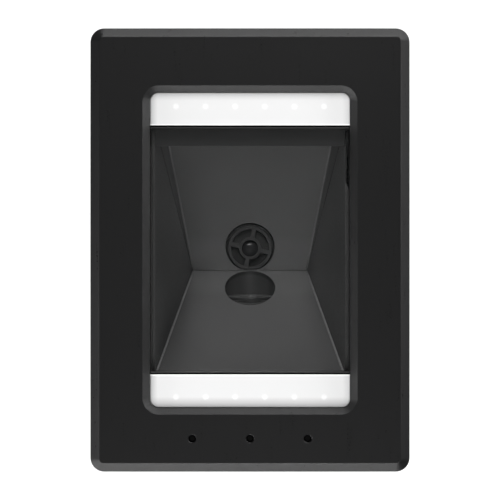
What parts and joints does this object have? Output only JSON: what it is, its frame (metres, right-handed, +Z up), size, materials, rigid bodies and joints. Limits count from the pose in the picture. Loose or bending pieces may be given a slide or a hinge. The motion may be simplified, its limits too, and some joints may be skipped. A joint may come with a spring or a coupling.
{
  "type": "desktop barcode scanner",
  "caption": "Box-shaped desktop barcode scanner that lies face up: chamfered bezel, clear window, white light panels and a mirror that folds the camera's view upwards.",
  "frame": {"origin": "centre of the footprint on the desk, at the height of the foot soles", "axes": "+Z up out of the window, +X to the right and -Y towards the indicators when the face is seen from above with the indicators nearest"},
  "size_m": [0.11, 0.1528, 0.0729],
  "materials": {
    "shell": "fine textured black moulding",
    "chamber": "semi-gloss black moulding",
    "rubber": "matt black rubber",
    "glass": "clear coated glass",
    "tape": "dark grey foam tape",
    "diffuser": "translucent white plastic",
    "board": "green solder resist",
    "chip": "black moulded package",
    "steel": "plated steel",
    "brass": "turned brass",
    "ribbon": "amber polyimide film",
    "guide": "smoked clear plastic",
    "mirror": "front-coated mirror",
    "foam": "black foam",
    "lens_body": "black anodised metal",
    "lens_glass": "coated lens glass"
  },
  "bodies": {
    "scanner_body": {"face_bezel": "shell", "rear_housing": "shell", "mirror_bracket": "shell", "lens_holder": "shell", "rubber_foot_1": "rubber", "rubber_foot_2": "rubber", "rubber_foot_3": "rubber", "rubber_foot_4": "rubber", "housing_screw_1": "steel", "housing_screw_2": "steel", "housing_screw_3": "steel", "housing_screw_4": "steel", "light_board_screw_1": "steel", "light_board_screw_2": "steel", "light_board_screw_3": "steel", "light_board_screw_4": "steel", "chamber_screw_1": "steel", "chamber_screw_2": "steel", "chamber_screw_3": "steel", "chamber_screw_4": "steel", "main_board_screw_1": "steel", "main_board_screw_2": "steel", "main_board_screw_3": "steel", "main_board_screw_4": "steel", "indicator_screw_1": "steel", "indicator_screw_2": "steel", "mirror_bracket_screw_1": "steel", "mirror_bracket_screw_2": "steel", "lens_holder_screw_1": "steel", "lens_holder_screw_2": "steel", "camera_board_screw_1": "steel", "camera_board_screw_2": "steel", "window_glass": "glass", "right_window_tape": "tape", "left_window_tape": "tape", "upper_diffuser": "diffuser", "lower_diffuser": "diffuser", "upper_light_board": "board", "lower_light_board": "board", "main_board": "board", "indicator_board": "board", "camera_board": "board", "optical_chamber": "chamber", "processor": "chip", "buzzer": "chip", "interface_socket": "chip", "image_sensor": "chip", "upper_light_lead": "ribbon", "lower_light_lead": "ribbon", "camera_flex": "ribbon", "indicator_lead": "ribbon", "indicator_light_guide": "guide", "fold_mirror": "mirror", "lower_mirror_pad": "foam", "upper_mirror_pad": "foam", "lens_lock_ring": "brass"},
    "lens_carriage": {"lens_glass": "lens_glass"},
    "lens_barrel": {"lens_barrel": "lens_body"}
  },
  "joints": [
    {"name": "lens_focus_travel", "type": "slide", "parent": "scanner_body", "child": "lens_carriage", "axis": [0, 0.9991, 0.0419], "range_m": [-0.00025, 0.00025]},
    {"name": "lens_focus_turn", "type": "hinge", "parent": "lens_carriage", "child": "lens_barrel", "pos_m": [0, -0.01718, 0.02047], "axis": [0, 0.9991, 0.0419], "range_deg": [-180, 180]}
  ],
  "couplings": [
    {"joint": "lens_focus_turn", "follows": "lens_focus_travel", "rad_per_m": 12566}
  ]
}
